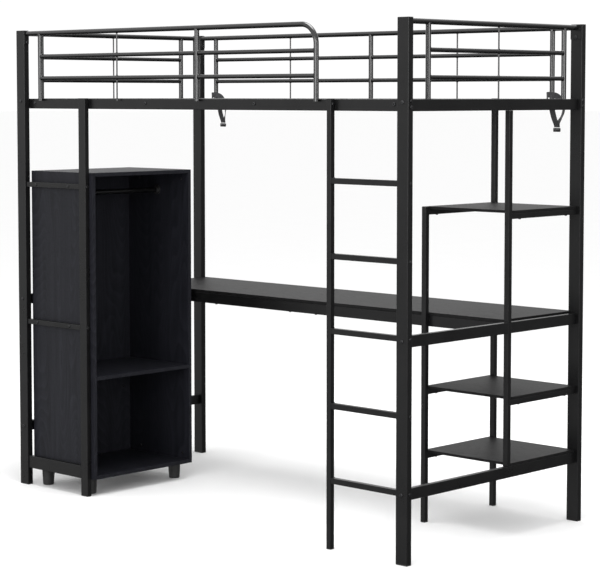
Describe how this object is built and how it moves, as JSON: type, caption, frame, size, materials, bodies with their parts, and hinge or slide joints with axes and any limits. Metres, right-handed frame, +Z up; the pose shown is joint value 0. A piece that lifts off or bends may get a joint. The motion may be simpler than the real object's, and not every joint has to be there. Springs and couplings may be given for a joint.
{
  "type": "loft bed with desk",
  "caption": "Tall steel loft bed with guardrails and a side ladder over a desk, a shelf tower and an open wardrobe.",
  "frame": {"origin": "on the floor, at the middle of the footprint of the four posts", "axes": "+X along the bed towards the ladder, +Y from the ladder side towards the wall, +Z up"},
  "size_m": [2.087, 1.0118, 1.85],
  "materials": {
    "steel": "satin black powder coat with a fine texture",
    "desk_board": "black wood-grain foil on board, low sheen",
    "cabinet_board": "black wood-grain foil with a faint cathedral grain",
    "rod": "satin black tube",
    "black_plastic": "moulded, matt",
    "webbing": "woven black webbing"
  },
  "bodies": {
    "root": {"post_front_left": "steel", "post_rear_left": "steel", "post_front_right": "steel", "post_rear_right": "steel", "bed_rail_front": "steel", "bed_rail_rear": "steel", "bed_rail_left": "steel", "end_rail_low_left": "steel", "bed_rail_right": "steel", "end_rail_low_right": "steel", "end_rail_desk_left": "steel", "end_rail_desk_right_front": "steel", "end_rail_desk_right_rear": "steel", "slat_panel_left": "steel", "slat_panel_middle": "steel", "slat_panel_right": "steel", "guard_front": "steel", "guard_rear": "steel", "guard_left": "steel", "guard_right": "steel", "ladder_stile": "steel", "ladder_rung_1": "steel", "ladder_rung_2": "steel", "ladder_rung_3": "steel", "ladder_rung_4": "steel", "ladder_rung_5": "steel", "wardrobe_post": "steel", "wardrobe_bar_upper": "steel", "wardrobe_bar_lower": "steel", "wardrobe_bar_bottom": "steel", "wardrobe_side_front": "cabinet_board", "wardrobe_side_rear": "cabinet_board", "wardrobe_bottom": "cabinet_board", "wardrobe_top": "cabinet_board", "wardrobe_back": "cabinet_board", "wardrobe_shelf": "cabinet_board", "hanging_rod": "rod", "foot_front_left": "black_plastic", "foot_front_right": "black_plastic", "foot_rear_left": "black_plastic", "foot_rear_right": "black_plastic", "desk_board": "desk_board", "desk_rail_front": "steel", "desk_rail_rear": "steel", "tower_post_front": "steel", "tower_post_end": "steel", "tower_post_rear_lower": "steel", "tower_post_rear_upper": "steel", "shelf_board_upper": "desk_board", "shelf_rail_upper_left": "steel", "shelf_rail_upper_right": "steel", "shelf_board_middle": "desk_board", "shelf_rail_middle_left": "steel", "shelf_rail_middle_right": "steel", "shelf_board_lower": "desk_board", "shelf_rail_lower_left": "steel", "strap_left": "webbing", "strap_right": "webbing", "buckle_left": "black_plastic", "buckle_right": "black_plastic"}
  },
  "joints": []
}
